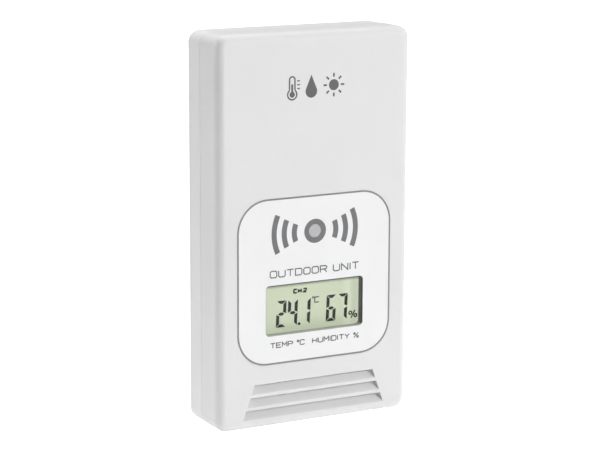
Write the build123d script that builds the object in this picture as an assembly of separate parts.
from build123d import *
import math
import os

# A wireless outdoor temperature and humidity sensor: a slim two-part case that stands on its flat base
# or hangs on a screw. Millimetres. The origin is the middle of the base, the front faces -Y, up is +Z.

# Case
width = 68.6
depth = 21.2
height = 125.8
corner_radius = 3.9
front_edge_radius = 2.7
rear_edge_radius = 0.6
front_wall = 2.0
rear_wall = 2.0
side_wall = 1.8
split_depth = 12.0
seam_gap = 0.6
rear_inset = 0.2
tongue_wall = 1.0
tongue_reach = 1.8
slip = 0.1
gap = 0.25
touch = 0.05

# Label film
label_width = 54.9
label_height = 53.4
label_radius = 10.5
label_centre_z = 47.25
label_thickness = 0.35

# Display
window_width = 35.1
window_height = 16.4
window_radius = 1.3
window_centre_z = 37.95
collar_wall = 0.9
flange_thickness = 0.8
bezel_wall = 1.65
pane_overlap = 1.8
pane_thickness = 0.6
pane_pocket_depth = 0.8
film_thickness = 0.2
glass_thickness = 0.7
glass_overlap_x = 2.45
glass_overlap_z = 2.8
glass_ledge = 2.0
zebra_width = 1.6
zebra_end_margin = 1.0
peg_radius = 0.75
peg_reach = 2.0

# Signal lamp
lamp_z = 62.4
lens_radius = 2.2
lens_flange_radius = 3.2
lens_flange_thickness = 0.8
lens_ring_wall = 0.9
lamp_radius = 1.5
lamp_height = 3.4
lamp_rim_radius = 1.9
lamp_rim_height = 1.0
lamp_lead_pitch = 2.54
lead_radius = 0.25
lead_stub = 0.9

# Louvres
louvre_count = 3
louvre_top_z = 14.35
louvre_pitch = 4.1
louvre_height = 2.95
louvre_depth = 2.6
louvre_lip_radius = 0.35
louvre_top_half = 21.6
louvre_spread = 0.353

# Case screws
case_screw_inset_x = 6.8
case_screw_inset_low = 8.5
case_screw_inset_high = 9.8
case_boss_radius = 3.0
case_post_radius = 3.7
boss_meet_depth = 1.0
screw_seat_thickness = 2.0
screw_well_radius = 2.8
case_screw_head_radius = 2.4
case_screw_head_height = 1.7
case_screw_radius = 1.0
case_screw_length = 9.5
thread_clearance = 0.02
case_screw_hole_radius = 1.3
pilot_spare = 1.0
cross_slot_width = 0.8
cross_slot_length = 2.6
cross_slot_depth = 0.7

# Circuit board
board_side_margin = 2.7
board_bottom_z = 14.0
board_thickness = 1.6
board_corner_radius = 1.0
board_stand = 5.6
board_bay_gap = 1.7
board_screw_inset = 3.5
board_boss_radius = 2.5
board_hole_radius = 1.25
board_screw_head_radius = 1.9
board_screw_head_height = 1.2
board_screw_radius = 0.9
board_screw_length = 5.6

# Battery bay
cell_length = 49.5
cell_radius = 7.1
cell_edge_radius = 0.6
nipple_length = 1.0
nipple_radius = 2.75
cell_spacing = 1.0
bay_contact_room = 3.35
cell_cover_gap = 1.1
bay_wall = 1.3
bay_top_inset = 23.4
bay_rib_height = 2.4
bay_rib_width = 0.9
contact_sheet = 0.4
contact_margin = 1.1
contact_reach_margin = 2.0
dimple_radius = 3.0
dimple_height = 1.0
tab_width = 3.0
tab_reach = 2.6
tab_tongue_room = 1.8
tab_lane = 1.3
spring_wire_radius = 0.35
spring_plate_radius = 4.6
spring_cell_radius = 2.6
spring_turns = 3.0

# Switch panel under the battery door
panel_recess_depth = 3.8
panel_thickness = 1.2
switch_drop = 7.0
switch_rise = 6.5
switch_spacing = 14.0
switch_height = 3.5
slide_frame_length = 9.0
slide_frame_width = 4.4
slide_travel = 2.0
knob_length = 2.0
knob_width = 2.0
knob_top_depth = 2.8
knob_seat_depth = 2.2
knob_notch_depth = 0.25
push_frame_size = 6.0
push_radius = 1.75
push_top_depth = 3.0
push_seat_depth = 1.2
push_travel = 0.3
push_over_travel = 0.1

# Battery door
door_side_gap = 0.4
door_rest_gap = 0.1
hinge_radius = 1.5
hinge_pin_radius = 0.8
hinge_pin_clearance = 0.05
hinge_pin_reach = 2.3
hinge_end_gap = 0.3
hinge_above_opening = 1.75
ear_radius = 1.9
latch_half_width = 6.0
latch_reach = 2.2
latch_thickness = 1.4
grip_count = 4
grip_pitch = 1.6
grip_depth = 0.4
grip_half_width = 8.0
grip_drop = 3.0
arrow_width = 5.0
arrow_height = 3.0
arrow_drop = 11.0
door_rib_height = 0.7
door_rib_thickness = 1.0
door_rib_offset = 12.0

# Keyhole hanger
keyhole_radius = 4.0
keyhole_slot_radius = 2.1
keyhole_drop = 14.8
keyhole_rise = 6.5
keyhole_room = 1.3
keyhole_pocket_depth = 3.8
keyhole_pocket_wall = 1.2

# Rear vents
vent_count = 4
vent_bottom_z = 18.0
vent_pitch = 4.0
vent_height = 1.6
vent_half_length = 16.0

# Radio and other board parts
radio_board_width = 18.0
radio_board_height = 15.0
radio_board_thickness = 1.0
radio_x = 15.0
radio_z = 28.3
header_height = 3.6
header_width = 2.4
pin_count = 4
pin_pitch = 2.54
pin_radius = 0.32
pin_hole_radius = 0.45
pin_stub = 1.0
resonator_radius = 2.4
resonator_height = 2.0
coil_radius = 2.5
coil_wire_radius = 0.4
coil_pitch = 1.9
coil_turns = 9
coil_x = -24.0
coil_z = 30.0
coil_lift = 4.6
chip_cap_radius = 7.0
chip_cap_height = 1.5
chip_cap_x = -8.0
chip_cap_z = 45.0
crystal_length = 11.0
crystal_width = 4.4
crystal_height = 3.4
crystal_x = 9.0
crystal_z = 53.5
capacitor_radius = 2.5
capacitor_height = 7.0
capacitor_x = -23.0
capacitor_bezel_gap = 0.3
sensor_chip_size = 3.2
sensor_chip_height = 1.1
sensor_chip_x = 8.0
sensor_chip_z = 16.2
sensor_port_radius = 0.6
sensor_port_depth = 0.3
bead_radius = 1.2
bead_x = -9.0
bead_z = 9.0
bead_pitch = 1.27
bead_lead_z = 16.0
bead_stand = 2.4
bead_lead_bend = 0.8
small_part_length = 2.0
small_part_width = 1.25
small_part_height = 0.6
small_part_pitch_x = 3.4
small_part_pitch_z = 3.2
small_part_columns = 4
small_part_rows = 2
small_part_x = 3.5
small_part_z = 44.0

# Battery leads
wire_radius = 0.55
wire_lane = 2.2
wire_lane_pitch = 1.35
wire_entry_drop = 0.4
wire_end_drop = 1.7
black_wire_x = -21.5
red_wire_x = -18.0

# Planes across the depth
front_y = -depth / 2
back_y = depth / 2
split_y = front_y + split_depth
rear_front_y = split_y + seam_gap
cover_inside_y = front_y + front_wall
rear_inside_y = back_y - rear_wall
boss_meet_y = split_y + boss_meet_depth
board_front_y = cover_inside_y + board_stand
board_back_y = board_front_y + board_thickness

# Inside of the front cover
cover_inside_width = width - 2 * side_wall
cover_inside_height = height - 2 * side_wall
cover_inside_radius = corner_radius - side_wall
case_centre_z = height / 2

# Outside of the rear case, flush with the cover at the base
rear_width = width - 2 * rear_inset
rear_height = height - rear_inset
rear_radius = corner_radius - rear_inset
rear_centre_z = rear_height / 2

# Battery bay
cell_pitch = 2 * cell_radius + cell_spacing
bay_top_z = height - bay_top_inset
bay_bottom_z = bay_top_z - 2 * cell_pitch
bay_half = (cell_length + nipple_length) / 2 + bay_contact_room
bay_floor_y = rear_inside_y - 2 * cell_radius - cell_cover_gap
contact_half_width = cell_radius - contact_margin
contact_reach = 2 * cell_radius - contact_reach_margin
cell_y = bay_floor_y + cell_radius + touch
plus_tab_y = split_y - tongue_reach - tab_tongue_room
minus_tab_y = plus_tab_y - tab_lane
lower_cell_z = bay_bottom_z + cell_pitch / 2
upper_cell_z = lower_cell_z + cell_pitch
plus_end = bay_half - contact_sheet - dimple_height
minus_end = plus_end - nipple_length - cell_length

# Board
board_half = cover_inside_width / 2 - board_side_margin
board_top_z = bay_bottom_z - bay_wall - board_bay_gap

# Switch panel and door
switch_z = bay_bottom_z - switch_drop
panel_outer_y = rear_inside_y - panel_recess_depth
panel_inner_y = panel_outer_y - panel_thickness
opening_half = bay_half + door_side_gap + gap
opening_top_z = bay_top_z + bay_wall / 2
opening_bottom_z = switch_z - switch_rise
hinge_y = back_y - hinge_radius
hinge_z = opening_bottom_z + hinge_above_opening
door_half = opening_half - gap
door_top_z = opening_top_z - gap
door_inside_y = rear_inside_y + door_rest_gap

# Display stack, front to back
collar_front_y = front_y + label_thickness
pane_front_y = cover_inside_y + flange_thickness
glass_front_y = pane_front_y + pane_pocket_depth
front_glass_y = glass_front_y + film_thickness
rear_glass_y = front_glass_y + glass_thickness
reflector_y = rear_glass_y + glass_thickness
glass_width = window_width + 2 * glass_overlap_x
glass_height = window_height + 2 * glass_overlap_z
bezel_width = glass_width + 2 * (slip + bezel_wall)
bezel_height = glass_height + 2 * (slip + bezel_wall)
capacitor_z = window_centre_z + bezel_height / 2 + capacitor_bezel_gap + capacitor_radius

# Keyhole
keyhole_z = height - keyhole_drop
keyhole_top_z = keyhole_z + keyhole_rise


def block(x_range, y_range, z_range):
    """A box between two limits along each axis."""
    ranges = (x_range, y_range, z_range)
    sizes = [high - low for low, high in ranges]
    middle = [(low + high) / 2 for low, high in ranges]
    return Pos(*middle) * Box(*sizes)


def plate(outline, y_range):
    """An outline drawn in x and z, made solid between two depths."""
    front, back = y_range
    drawing_plane = Plane(origin=(0, back, 0), x_dir=(1, 0, 0), z_dir=(0, -1, 0))
    return extrude(drawing_plane * outline, amount=back - front)


def rod(radius, place, y_range):
    """A round rod that runs through the depth at a place in x and z."""
    return plate(Pos(*place) * Circle(radius), y_range)


def cross_rod(radius, x_range, y, z):
    """A round rod that runs across the case, along x."""
    low, high = x_range
    return Pos((low + high) / 2, y, z) * Rotation(0, 90, 0) * Cylinder(radius, high - low)


def rounded(size_x, size_z, radius, centre_z, centre_x=0):
    """A rectangle with round corners, placed in x and z."""
    return Pos(centre_x, centre_z) * RectangleRounded(size_x, size_z, radius)


def swept(path, radius):
    """A round wire along a path."""
    section = Plane(origin=path @ 0, z_dir=path % 0) * Circle(radius)
    return sweep(section, path=path)


def joined(solids):
    """Several solids as one shape."""
    total = Part()
    for solid in solids:
        total += solid
    return total


def corner_places(half_x, low_z, high_z):
    """The four corners of a screw pattern, as pairs of x and z."""
    return [(x, z) for x in (-half_x, half_x) for z in (low_z, high_z)]


case_screw_places = corner_places(
    width / 2 - case_screw_inset_x, case_screw_inset_low, height - case_screw_inset_high)
board_screw_places = corner_places(
    board_half - board_screw_inset, board_bottom_z + board_screw_inset, board_top_z - board_screw_inset)
peg_places = corner_places(
    (bezel_width - bezel_wall) / 2,
    window_centre_z - (bezel_height - bezel_wall) / 2,
    window_centre_z + (bezel_height - bezel_wall) / 2)


def louvre_cut():
    """Wedges that are deepest at their top edge and run out to the front at their bottom edge."""
    reach = front_y - 1
    wedges = Part()
    for index in range(louvre_count):
        top = louvre_top_z - index * louvre_pitch
        bottom = top - louvre_height
        profile = Polygon(
            (reach, top), (front_y + louvre_depth, top), (front_y, bottom), (reach, bottom), align=None)
        wedges += extrude(Plane.YZ * profile, amount=width / 2, both=True)
    fall = (louvre_count - 1) * louvre_pitch + louvre_height
    bottom_half = louvre_top_half + fall * louvre_spread
    bottom_z = louvre_top_z - fall
    fan = Polygon(
        (-louvre_top_half, louvre_top_z), (-bottom_half, bottom_z),
        (bottom_half, bottom_z), (louvre_top_half, louvre_top_z), align=None)
    return wedges & plate(fan, (reach, cover_inside_y + louvre_depth))


def front_cover():
    """The deep front shell, with the label's recess, the display opening, louvres and screw bosses."""
    outside = rounded(width, height, corner_radius, case_centre_z)
    inside = rounded(cover_inside_width, cover_inside_height, cover_inside_radius, case_centre_z)
    shell = plate(outside, (front_y, split_y))
    shell = fillet(shell.faces().sort_by(Axis.Y)[0].edges(), front_edge_radius)
    shell -= plate(inside, (cover_inside_y, split_y + 1))
    for place in case_screw_places:
        shell += rod(case_boss_radius, place, (cover_inside_y, boss_meet_y))
    for place in board_screw_places:
        shell += rod(board_boss_radius, place, (cover_inside_y, board_front_y))
    ring_radius = lens_flange_radius + slip + lens_ring_wall
    ring = rod(ring_radius, (0, lamp_z), (cover_inside_y, cover_inside_y + lens_flange_thickness))
    shell += ring - rod(lens_flange_radius + slip, (0, lamp_z), (cover_inside_y, board_front_y))
    pilot = case_screw_radius + thread_clearance
    for place in case_screw_places:
        depth_reached = boss_meet_y + screw_seat_thickness - case_screw_length - pilot_spare
        shell -= rod(pilot, place, (depth_reached, boss_meet_y + 1))
    board_pilot = board_screw_radius + thread_clearance
    board_pilot_end = board_back_y - board_screw_length - pilot_spare
    for place in board_screw_places:
        shell -= rod(board_pilot, place, (board_pilot_end, board_front_y + 1))
    recess = rounded(label_width + 2 * slip, label_height + 2 * slip, label_radius + slip, label_centre_z)
    shell -= plate(recess, (front_y - 1, collar_front_y))
    collar_room = collar_wall + slip
    opening = rounded(
        window_width + 2 * collar_room, window_height + 2 * collar_room,
        window_radius + collar_room, window_centre_z)
    shell -= plate(opening, (front_y - 1, cover_inside_y + 1))
    shell -= rod(lens_radius + slip, (0, lamp_z), (front_y - 1, cover_inside_y + 1))
    shell -= louvre_cut()
    tops = [louvre_top_z - index * louvre_pitch for index in range(louvre_count)]
    front_edges = [edge for edge in shell.edges().filter_by(Axis.X) if abs(edge.center().Y - front_y) < touch]
    lips = [edge for edge in front_edges if min(abs(edge.center().Z - top) for top in tops) < touch]
    return fillet(lips, louvre_lip_radius)


def label_panel():
    """The printed film in the front recess, with the display opening and the lamp hole."""
    film = plate(rounded(label_width, label_height, label_radius, label_centre_z), (front_y, collar_front_y))
    film -= plate(rounded(window_width, window_height, window_radius, window_centre_z), (front_y - 1, 0))
    return film - rod(lens_radius + slip, (0, lamp_z), (front_y - 1, 0))


def display_bezel():
    """The dark frame that lines the display opening and clamps the display to the board."""
    def window(room):
        size_x = window_width + 2 * room
        return rounded(size_x, window_height + 2 * room, window_radius + room, window_centre_z)

    collar = plate(window(collar_wall), (collar_front_y, cover_inside_y + flange_thickness))
    frame = block(
        (-bezel_width / 2, bezel_width / 2), (cover_inside_y, board_front_y),
        (window_centre_z - bezel_height / 2, window_centre_z + bezel_height / 2))
    glass_room = glass_width / 2 + slip
    glass_rise = glass_height / 2 + slip
    frame -= block(
        (-glass_room, glass_room), (glass_front_y, board_front_y + 1),
        (window_centre_z - glass_rise, window_centre_z + glass_rise))
    pane_room = window_width / 2 + pane_overlap + slip
    pane_rise = window_height / 2 + pane_overlap + slip
    frame -= block(
        (-pane_room, pane_room), (pane_front_y, board_front_y),
        (window_centre_z - pane_rise, window_centre_z + pane_rise))
    bezel = (collar + frame) - plate(window(0), (front_y, pane_front_y + touch))
    for place in peg_places:
        bezel += rod(peg_radius, place, (board_front_y - 1, board_front_y + peg_reach))
    return bezel


def sheet_behind_window(size_x, size_z, y_range):
    """A flat rectangle centred on the display opening."""
    return block(
        (-size_x / 2, size_x / 2), y_range, (window_centre_z - size_z / 2, window_centre_z + size_z / 2))


def display_window():
    """The clear pane behind the display opening."""
    size_x = window_width + 2 * pane_overlap
    size_z = window_height + 2 * pane_overlap
    return sheet_behind_window(size_x, size_z, (pane_front_y, pane_front_y + pane_thickness))


def display_polariser():
    """The film on the front of the display glass."""
    return sheet_behind_window(glass_width, glass_height, (glass_front_y, front_glass_y))


def display_front_glass():
    """The front glass, whose ledges above and below carry the contacts."""
    return sheet_behind_window(glass_width, glass_height, (front_glass_y, rear_glass_y))


def display_rear_glass():
    """The rear glass, shorter by a ledge at the top and the bottom."""
    return sheet_behind_window(glass_width, glass_height - 2 * glass_ledge, (rear_glass_y, reflector_y))


def display_reflector():
    """The film behind the rear glass."""
    y_range = (reflector_y, reflector_y + film_thickness)
    return sheet_behind_window(glass_width, glass_height - 2 * glass_ledge, y_range)


def zebra_strip(side):
    """A rubber connector from a ledge of the front glass to the board."""
    centre_z = window_centre_z + side * (glass_height - glass_ledge) / 2
    half_length = glass_width / 2 - zebra_end_margin
    return block(
        (-half_length, half_length), (rear_glass_y, board_front_y),
        (centre_z - zebra_width / 2, centre_z + zebra_width / 2))


def lamp_lens():
    """The pale plug in front of the signal lamp, with a flange behind the front wall."""
    plug = rod(lens_radius, (0, lamp_z), (front_y + touch, cover_inside_y))
    plug = fillet(plug.faces().sort_by(Axis.Y)[0].edges(), label_thickness / 2)
    flange_depths = (cover_inside_y, cover_inside_y + lens_flange_thickness)
    return plug + rod(lens_flange_radius, (0, lamp_z), flange_depths)


def signal_lamp():
    """A round lamp on the board with two leads."""
    place = (0, lamp_z)
    tip_y = board_front_y - lamp_height
    body = rod(lamp_radius, place, (tip_y + lamp_radius, board_front_y))
    body += Pos(0, tip_y + lamp_radius, lamp_z) * Sphere(lamp_radius)
    body += rod(lamp_rim_radius, place, (board_front_y - lamp_rim_height, board_front_y))
    for x in (-lamp_lead_pitch / 2, lamp_lead_pitch / 2):
        body += rod(lead_radius, (x, lamp_z), (board_front_y - touch, board_back_y + lead_stub))
    return body


def radio_pin_places():
    """The pins that join the radio board to the main board."""
    start = -(pin_count - 1) / 2
    return [(radio_x + (start + index) * pin_pitch, radio_z - radio_board_height / 2 + header_width / 2)
            for index in range(pin_count)]


def main_board():
    """The circuit board that carries everything else."""
    size_z = board_top_z - board_bottom_z
    centre_z = (board_top_z + board_bottom_z) / 2
    depths = (board_front_y, board_back_y)
    through = (board_front_y - 1, board_back_y + 1)
    board = plate(rounded(2 * board_half, size_z, board_corner_radius, centre_z), depths)
    holes = [(place, board_hole_radius) for place in board_screw_places]
    holes += [(place, peg_radius + slip) for place in peg_places]
    holes += [(place, pin_hole_radius) for place in radio_pin_places()]
    holes += [((x, lamp_z), lead_radius + slip) for x in (-lamp_lead_pitch / 2, lamp_lead_pitch / 2)]
    holes += [((bead_x + side * bead_pitch, bead_lead_z), lead_radius + slip) for side in (-1, 1)]
    for place, radius in holes:
        board -= rod(radius, place, through)
    return board


def radio_board():
    """The small board of the transmitter, held off the main board by its pins."""
    lift = board_back_y + header_height
    board = plate(
        rounded(radio_board_width, radio_board_height, board_corner_radius / 2, radio_z, radio_x),
        (lift, lift + radio_board_thickness))
    for place in radio_pin_places():
        board -= rod(pin_hole_radius, place, (lift - 1, lift + radio_board_thickness + 1))
    return board


def radio_header():
    """The pin header between the two boards."""
    places = radio_pin_places()
    pin_z = places[0][1]
    half_length = pin_count * pin_pitch / 2
    lift = board_back_y + header_height
    header = block(
        (radio_x - half_length, radio_x + half_length), (board_back_y, lift),
        (pin_z - header_width / 2, pin_z + header_width / 2))
    for place in places:
        header += rod(pin_radius, place, (board_front_y - pin_stub, lift + radio_board_thickness + pin_stub))
    return header


def radio_resonator():
    """The round metal can on the radio board."""
    base = board_back_y + header_height + radio_board_thickness
    place = (radio_x - resonator_radius, radio_z + resonator_radius)
    can = rod(resonator_radius, place, (base, base + resonator_height))
    return fillet(can.faces().sort_by(Axis.Y)[-1].edges(), resonator_radius / 6)


def antenna_coil():
    """A wire coil that stands off the main board on one leg."""
    centre_y = board_back_y + coil_lift
    path = Helix(
        coil_pitch, coil_pitch * coil_turns, coil_radius,
        center=(coil_x, centre_y, coil_z), direction=(1, 0, 0))
    start = path @ 0
    section = Plane(origin=start, z_dir=path % 0) * Circle(coil_wire_radius)
    coil = sweep(section, path=path, is_frenet=True)
    leg = rod(coil_wire_radius, (start.X, start.Z), (board_back_y, start.Y))
    return coil + leg + Pos(start) * Sphere(coil_wire_radius)


def chip_cap():
    """A low dome of resin over the controller chip."""
    sphere_radius = (chip_cap_radius ** 2 + chip_cap_height ** 2) / (2 * chip_cap_height)
    sunk = sphere_radius - chip_cap_height
    place = (chip_cap_x, chip_cap_z)
    ball = Pos(chip_cap_x, board_back_y - sunk, chip_cap_z) * Sphere(sphere_radius)
    return ball & rod(chip_cap_radius + 1, place, (board_back_y, board_back_y + chip_cap_height + 1))


def crystal():
    """A metal can with round ends."""
    can = plate(
        rounded(crystal_length, crystal_width, crystal_width / 2 - touch, crystal_z, crystal_x),
        (board_back_y, board_back_y + crystal_height))
    return fillet(can.faces().sort_by(Axis.Y)[-1].edges(), crystal_height / 8)


def reservoir_capacitor():
    """A round can that smooths the supply when the transmitter sends."""
    top_y = board_back_y + capacitor_height
    can = rod(capacitor_radius, (capacitor_x, capacitor_z), (board_back_y, top_y))
    return fillet(can.faces().sort_by(Axis.Y)[-1].edges(), capacitor_radius / 8)


def humidity_sensor():
    """A small package behind the louvres, with a port in its face."""
    half = sensor_chip_size / 2
    front = board_front_y - sensor_chip_height
    chip = block(
        (sensor_chip_x - half, sensor_chip_x + half), (front, board_front_y),
        (sensor_chip_z - half, sensor_chip_z + half))
    place = (sensor_chip_x, sensor_chip_z)
    return chip - rod(sensor_port_radius, place, (front - 1, front + sensor_port_depth))


def thermistor():
    """A bead on two bent leads, hanging below the board behind the louvres."""
    bead_y = board_front_y - bead_stand
    bead = Pos(bead_x, bead_y, bead_z) * Sphere(bead_radius)
    for side in (-1, 1):
        x = bead_x + side * bead_pitch
        points = [
            (bead_x + side * bead_radius / 3, bead_y, bead_z), (x, bead_y, bead_z + 2 * bead_radius),
            (x, bead_y, bead_lead_z), (x, board_back_y + lead_stub, bead_lead_z)]
        bead += swept(FilletPolyline(*points, radius=bead_lead_bend), lead_radius)
    return bead


def surface_parts():
    """Rows of small resistors and capacitors on the back of the board."""
    chips = []
    for row in range(small_part_rows):
        for column in range(small_part_columns):
            x = small_part_x + column * small_part_pitch_x
            z = small_part_z + row * small_part_pitch_z
            chips.append(block(
                (x, x + small_part_length), (board_back_y, board_back_y + small_part_height),
                (z, z + small_part_width)))
    return joined(chips)


def cross_head_screw(place, seat_y, head_radius, head_height, shank_radius, length):
    """A screw driven from the back, with a cross in its head."""
    head = rod(head_radius, place, (seat_y, seat_y + head_height))
    head = fillet(head.faces().sort_by(Axis.Y)[-1].edges(), head_height / 3)
    screw = head + rod(shank_radius, place, (seat_y - length, seat_y))
    x, z = place
    slot_y = (seat_y + head_height - cross_slot_depth, seat_y + head_height + 1)
    half_length = cross_slot_length / 2
    half_width = cross_slot_width / 2
    screw -= block((x - half_length, x + half_length), slot_y, (z - half_width, z + half_width))
    return screw - block((x - half_width, x + half_width), slot_y, (z - half_length, z + half_length))


def case_screws():
    """The four screws that hold the two case halves together."""
    return joined([
        cross_head_screw(
            place, boss_meet_y + screw_seat_thickness, case_screw_head_radius,
            case_screw_head_height, case_screw_radius, case_screw_length)
        for place in case_screw_places])


def board_screws():
    """The four screws that hold the board to the front cover."""
    return joined([
        cross_head_screw(
            place, board_back_y, board_screw_head_radius, board_screw_head_height,
            board_screw_radius, board_screw_length)
        for place in board_screw_places])


def keyhole_outline(room=0.0):
    """A round entry with a narrower slot above it."""
    entry = Pos(0, keyhole_z) * Circle(keyhole_radius + room)
    slot_radius = keyhole_slot_radius + room
    slot = Pos(0, (keyhole_z + keyhole_top_z) / 2) * Rectangle(2 * slot_radius, keyhole_top_z - keyhole_z)
    return entry + slot + Pos(0, keyhole_top_z) * Circle(slot_radius)


def push_places():
    """The two push buttons, left and right of the channel switch."""
    return [(-switch_spacing, switch_z), (switch_spacing, switch_z)]


def tab_slots():
    """The slots in the bay's end wall for the solder tabs."""
    slots = Part()
    for z, base in ((lower_cell_z, minus_tab_y), (upper_cell_z, plus_tab_y)):
        slots += block(
            (-bay_half - bay_wall - 1, -bay_half + touch), (base - slip, base + contact_sheet + slip),
            (z - tab_width / 2 - slip, z + tab_width / 2 + slip))
    return slots


def rear_case():
    """The shallow rear shell with the battery bay, switch panel, keyhole pocket and screw posts."""
    outside = rounded(rear_width, rear_height, rear_radius, rear_centre_z)
    shell = plate(outside, (rear_front_y, back_y))
    shell = fillet(shell.faces().sort_by(Axis.Y)[-1].edges(), rear_edge_radius)
    inside = rounded(
        rear_width - 2 * side_wall, rear_height - 2 * side_wall, rear_radius - side_wall, rear_centre_z)
    shell -= plate(inside, (rear_front_y - 1, rear_inside_y))

    tongue_outside = rounded(
        cover_inside_width - 2 * slip, cover_inside_height - 2 * slip,
        cover_inside_radius - slip, case_centre_z)
    tongue_room = slip + tongue_wall
    tongue_inside = rounded(
        cover_inside_width - 2 * tongue_room, cover_inside_height - 2 * tongue_room,
        cover_inside_radius - tongue_room, case_centre_z)
    tongue_depths = (split_y - tongue_reach, rear_front_y + side_wall)
    shell += plate(tongue_outside, tongue_depths) - plate(tongue_inside, tongue_depths)

    for place in case_screw_places:
        shell += rod(case_post_radius, place, (boss_meet_y, rear_inside_y + touch))

    outer_half = bay_half + bay_wall
    bay_range_z = (bay_bottom_z - bay_wall, bay_top_z + bay_wall)
    shell += block((-outer_half, outer_half), (bay_floor_y - bay_wall, rear_inside_y), bay_range_z)
    shell += block(
        (-outer_half, outer_half), (panel_inner_y, rear_inside_y),
        (opening_bottom_z - bay_wall, bay_bottom_z))
    for side in (-1, 1):
        ear_low, ear_high = sorted((side * (outer_half - touch), side * (opening_half + hinge_pin_reach)))
        shell += cross_rod(ear_radius, (ear_low, ear_high), hinge_y - (ear_radius - hinge_radius), hinge_z)
    pocket_half = keyhole_radius + keyhole_room
    pocket_bottom_z = keyhole_z - pocket_half
    pocket_top_z = keyhole_top_z + keyhole_slot_radius + keyhole_room
    shell += block(
        (-pocket_half - keyhole_pocket_wall, pocket_half + keyhole_pocket_wall),
        (rear_inside_y - keyhole_pocket_depth - keyhole_pocket_wall, rear_inside_y),
        (pocket_bottom_z - keyhole_pocket_wall, pocket_top_z + keyhole_pocket_wall))

    shell -= block((-bay_half, bay_half), (bay_floor_y, rear_inside_y + touch), (bay_bottom_z, bay_top_z))
    shell -= block(
        (-bay_half, bay_half), (panel_outer_y, rear_inside_y + touch),
        (opening_bottom_z, bay_bottom_z - bay_wall))
    shell -= block(
        (-opening_half, opening_half), (rear_inside_y, back_y + 1), (opening_bottom_z, opening_top_z))
    latch_room = latch_half_width + gap
    shell -= block(
        (-latch_room, latch_room), (back_y - latch_thickness - gap, back_y + 1),
        (opening_top_z - 1, opening_top_z + latch_reach + gap))
    pin_room = hinge_pin_radius + hinge_pin_clearance
    pin_end = door_half + hinge_pin_reach + gap - hinge_end_gap
    shell -= cross_rod(pin_room, (-pin_end, pin_end), hinge_y, hinge_z)
    shell -= block(
        (-pocket_half, pocket_half), (rear_inside_y - keyhole_pocket_depth, rear_inside_y),
        (pocket_bottom_z, pocket_top_z))
    shell -= plate(keyhole_outline(), (rear_inside_y - touch, back_y + 1))

    for place in case_screw_places:
        seat_y = boss_meet_y + screw_seat_thickness
        shell -= rod(screw_well_radius, place, (seat_y, back_y + 1))
        shell -= rod(case_screw_hole_radius, place, (boss_meet_y - 1, seat_y + 1))
    for index in range(vent_count):
        z = vent_bottom_z + index * vent_pitch
        slot = Pos(0, z) * SlotOverall(2 * vent_half_length, vent_height)
        shell -= plate(slot, (rear_inside_y - 1, back_y + 1))
    knob_room_x = slide_travel + knob_length / 2 + gap
    knob_room_z = knob_width / 2 + gap
    shell -= block(
        (-knob_room_x, knob_room_x), (panel_inner_y - 1, panel_outer_y + 1),
        (switch_z - knob_room_z, switch_z + knob_room_z))
    for place in push_places():
        shell -= rod(push_radius + gap, place, (panel_inner_y - 1, panel_outer_y + 1))
    shell -= tab_slots()
    rib_z = (lower_cell_z + upper_cell_z) / 2
    rib_half = bay_half - bay_contact_room
    return shell + block(
        (-rib_half, rib_half), (bay_floor_y, bay_floor_y + bay_rib_height),
        (rib_z - bay_rib_width / 2, rib_z + bay_rib_width / 2))


def battery_door():
    """The flush rear lid, hinged on two pins at its lower edge, with a latch tab at the top."""
    door = block((-door_half, door_half), (door_inside_y, back_y), (hinge_z, door_top_z))
    barrel_half = bay_half - gap
    door += cross_rod(hinge_radius, (-barrel_half, barrel_half), hinge_y, hinge_z)
    pin_end = door_half + hinge_pin_reach - hinge_end_gap
    door += cross_rod(hinge_pin_radius, (-pin_end, pin_end), hinge_y, hinge_z)
    door += block(
        (-latch_half_width, latch_half_width), (back_y - latch_thickness, back_y),
        (door_top_z, opening_top_z + latch_reach))
    for side in (-1, 1):
        x = side * door_rib_offset
        door += block(
            (x - door_rib_thickness / 2, x + door_rib_thickness / 2),
            (door_inside_y - door_rib_height, door_inside_y),
            (bay_bottom_z + cell_spacing, bay_top_z - cell_spacing))
    for index in range(grip_count):
        z = door_top_z - grip_drop - index * grip_pitch
        groove = Pos(0, z) * SlotOverall(2 * grip_half_width, grip_pitch / 2)
        door -= plate(groove, (back_y - grip_depth, back_y + 1))
    arrow_z = door_top_z - arrow_drop
    arrow = Polygon(
        (-arrow_width / 2, arrow_z), (0, arrow_z - arrow_height), (arrow_width / 2, arrow_z), align=None)
    return door - plate(arrow, (back_y - grip_depth, back_y + 1))


def cell(z, direction):
    """A round cell that lies across the bay, with its positive end towards +x or -x."""
    can = cross_rod(cell_radius, (minus_end, minus_end + cell_length), cell_y, z)
    can = fillet(can.edges().filter_by(GeomType.CIRCLE), cell_edge_radius)
    can += cross_rod(nipple_radius, (minus_end + cell_length - touch, plus_end), cell_y, z)
    return can if direction > 0 else mirror(can, about=Plane.YZ)


def contact_plate(z, direction, dimpled):
    """A flat contact against the end wall of the bay, with a dimple where it meets a positive end."""
    base_x = bay_half - contact_sheet
    sheet = block(
        (base_x, bay_half), (bay_floor_y, bay_floor_y + contact_reach),
        (z - contact_half_width, z + contact_half_width))
    if dimpled:
        sheet += cross_rod(dimple_radius, (base_x - dimple_height, base_x), cell_y, z)
    return sheet if direction > 0 else mirror(sheet, about=Plane.YZ)


def solder_tab(z, base):
    """The tab that passes through the bay's end wall to its lead."""
    return block(
        (-bay_half - tab_reach, -bay_half + contact_sheet), (base, base + contact_sheet),
        (z - tab_width / 2, z + tab_width / 2))


def plus_contact():
    """The contact of the upper cell's positive end, with its tab."""
    return contact_plate(upper_cell_z, -1, True) + solder_tab(upper_cell_z, plus_tab_y)


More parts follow.
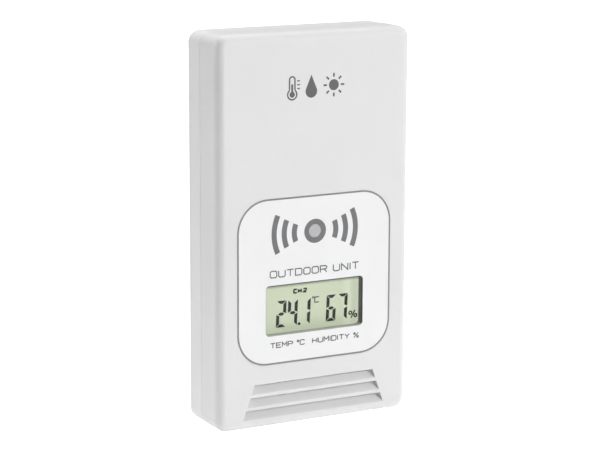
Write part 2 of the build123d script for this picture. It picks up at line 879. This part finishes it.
def minus_contact():
    """The contact of the lower cell's negative end, with its tab."""
    return contact_plate(lower_cell_z, -1, False) + solder_tab(lower_cell_z, minus_tab_y)


def bridge_contact():
    """The contact that joins the lower cell's positive end to the upper cell's negative end."""
    bridge = contact_plate(lower_cell_z, 1, True) + contact_plate(upper_cell_z, 1, False)
    return bridge + block(
        (bay_half - contact_sheet, bay_half), (bay_floor_y, bay_floor_y + contact_reach),
        (lower_cell_z, upper_cell_z))


def contact_spring(z, direction):
    """A cone of wire between a contact and the negative end of a cell."""
    start_x = -bay_half + contact_sheet + spring_wire_radius
    span = minus_end - spring_wire_radius - start_x
    cone = -math.degrees(math.atan2(spring_plate_radius - spring_cell_radius, span))
    path = Helix(
        span / spring_turns, span, spring_plate_radius, center=(start_x, cell_y, z),
        direction=(1, 0, 0), cone_angle=cone)
    section = Plane(origin=path @ 0, z_dir=path % 0) * Circle(spring_wire_radius - touch / 2)
    spring = sweep(section, path=path, is_frenet=True)
    return spring if direction < 0 else mirror(spring, about=Plane.YZ)


def contact_springs():
    """The two springs that press on the cells' negative ends."""
    return joined([contact_spring(lower_cell_z, -1), contact_spring(upper_cell_z, 1)])


def battery_lead(tab_z, tab_y, board_x, lane):
    """An insulated wire from a solder tab, down beside the bay and across to the board."""
    x = -bay_half - tab_reach + wire_radius
    y = tab_y + contact_sheet + wire_radius
    lane_y = board_back_y + wire_lane + lane * wire_lane_pitch
    end_z = board_top_z - wire_end_drop
    points = [
        (x, y, tab_z + tab_width / 2 - slip),
        (x, y, bay_bottom_z - bay_wall),
        (x + 4.5 * wire_radius, lane_y - 2 * wire_radius, board_top_z - wire_entry_drop),
        (x + 8 * wire_radius, lane_y, end_z + wire_radius / 2),
        (board_x, lane_y, end_z),
        (board_x, board_back_y, end_z)]
    return swept(FilletPolyline(*points, radius=wire_radius), wire_radius)


def red_lead():
    """The lead of the positive contact."""
    return battery_lead(upper_cell_z, plus_tab_y, red_wire_x, 1)


def black_lead():
    """The lead of the negative contact."""
    return battery_lead(lower_cell_z, minus_tab_y, black_wire_x, 0)


def channel_switch_frame():
    """The body of the channel switch on the back of the board."""
    frame = block(
        (-slide_frame_length / 2, slide_frame_length / 2), (board_back_y, board_back_y + switch_height),
        (switch_z - slide_frame_width / 2, switch_z + slide_frame_width / 2))
    room_x = slide_travel + knob_length / 2 + gap
    room_z = knob_width / 2 + slip
    top_y = board_back_y + switch_height
    return frame - block(
        (-room_x, room_x), (top_y - knob_seat_depth - touch, top_y + 1),
        (switch_z - room_z, switch_z + room_z))


def channel_knob():
    """The slider of the channel switch, with grooves across its top."""
    top_y = rear_inside_y - knob_top_depth
    knob = block(
        (-knob_length / 2, knob_length / 2), (board_back_y + switch_height - knob_seat_depth, top_y),
        (switch_z - knob_width / 2, switch_z + knob_width / 2))
    for side in (-1, 0, 1):
        x = side * knob_length / 3
        knob -= block(
            (x - knob_length / 12, x + knob_length / 12), (top_y - knob_notch_depth, top_y + 1),
            (switch_z - knob_width, switch_z + knob_width))
    return knob


def push_frame(place):
    """The square body of a push button, with a round guide."""
    x, z = place
    half = push_frame_size / 2
    top_y = board_back_y + switch_height
    floor_y = top_y - push_seat_depth - push_travel - push_over_travel
    frame = block((x - half, x + half), (board_back_y, top_y), (z - half, z + half))
    return frame - rod(push_radius + slip, place, (floor_y, top_y + 1))


def push_button(place):
    """The plunger of a push button, which reaches through the panel."""
    top_y = rear_inside_y - push_top_depth
    button = rod(push_radius, place, (board_back_y + switch_height - push_seat_depth, top_y))
    return fillet(button.faces().sort_by(Axis.Y)[-1].edges(), push_radius / 6)


left_push, right_push = push_places()

pieces = {
    "front_cover": front_cover(),
    "rear_case": rear_case(),
    "battery_door": battery_door(),
    "label_panel": label_panel(),
    "display_bezel": display_bezel(),
    "display_window": display_window(),
    "display_polariser": display_polariser(),
    "display_front_glass": display_front_glass(),
    "display_rear_glass": display_rear_glass(),
    "display_reflector": display_reflector(),
    "zebra_strip_top": zebra_strip(1),
    "zebra_strip_bottom": zebra_strip(-1),
    "lamp_lens": lamp_lens(),
    "signal_lamp": signal_lamp(),
    "main_board": main_board(),
    "chip_cap": chip_cap(),
    "crystal": crystal(),
    "reservoir_capacitor": reservoir_capacitor(),
    "surface_parts": surface_parts(),
    "humidity_sensor": humidity_sensor(),
    "thermistor": thermistor(),
    "radio_board": radio_board(),
    "radio_header": radio_header(),
    "radio_resonator": radio_resonator(),
    "antenna_coil": antenna_coil(),
    "case_screws": case_screws(),
    "board_screws": board_screws(),
    "lower_cell": cell(lower_cell_z, 1),
    "upper_cell": cell(upper_cell_z, -1),
    "plus_contact": plus_contact(),
    "minus_contact": minus_contact(),
    "bridge_contact": bridge_contact(),
    "contact_springs": contact_springs(),
    "red_lead": red_lead(),
    "black_lead": black_lead(),
    "channel_switch_frame": channel_switch_frame(),
    "channel_knob": channel_knob(),
    "reset_switch_frame": push_frame(left_push),
    "reset_button": push_button(left_push),
    "unit_switch_frame": push_frame(right_push),
    "unit_button": push_button(right_push),
}

os.makedirs("parts", exist_ok=True)
for name, piece in pieces.items():
    export_step(piece, f"parts/{name}.step")
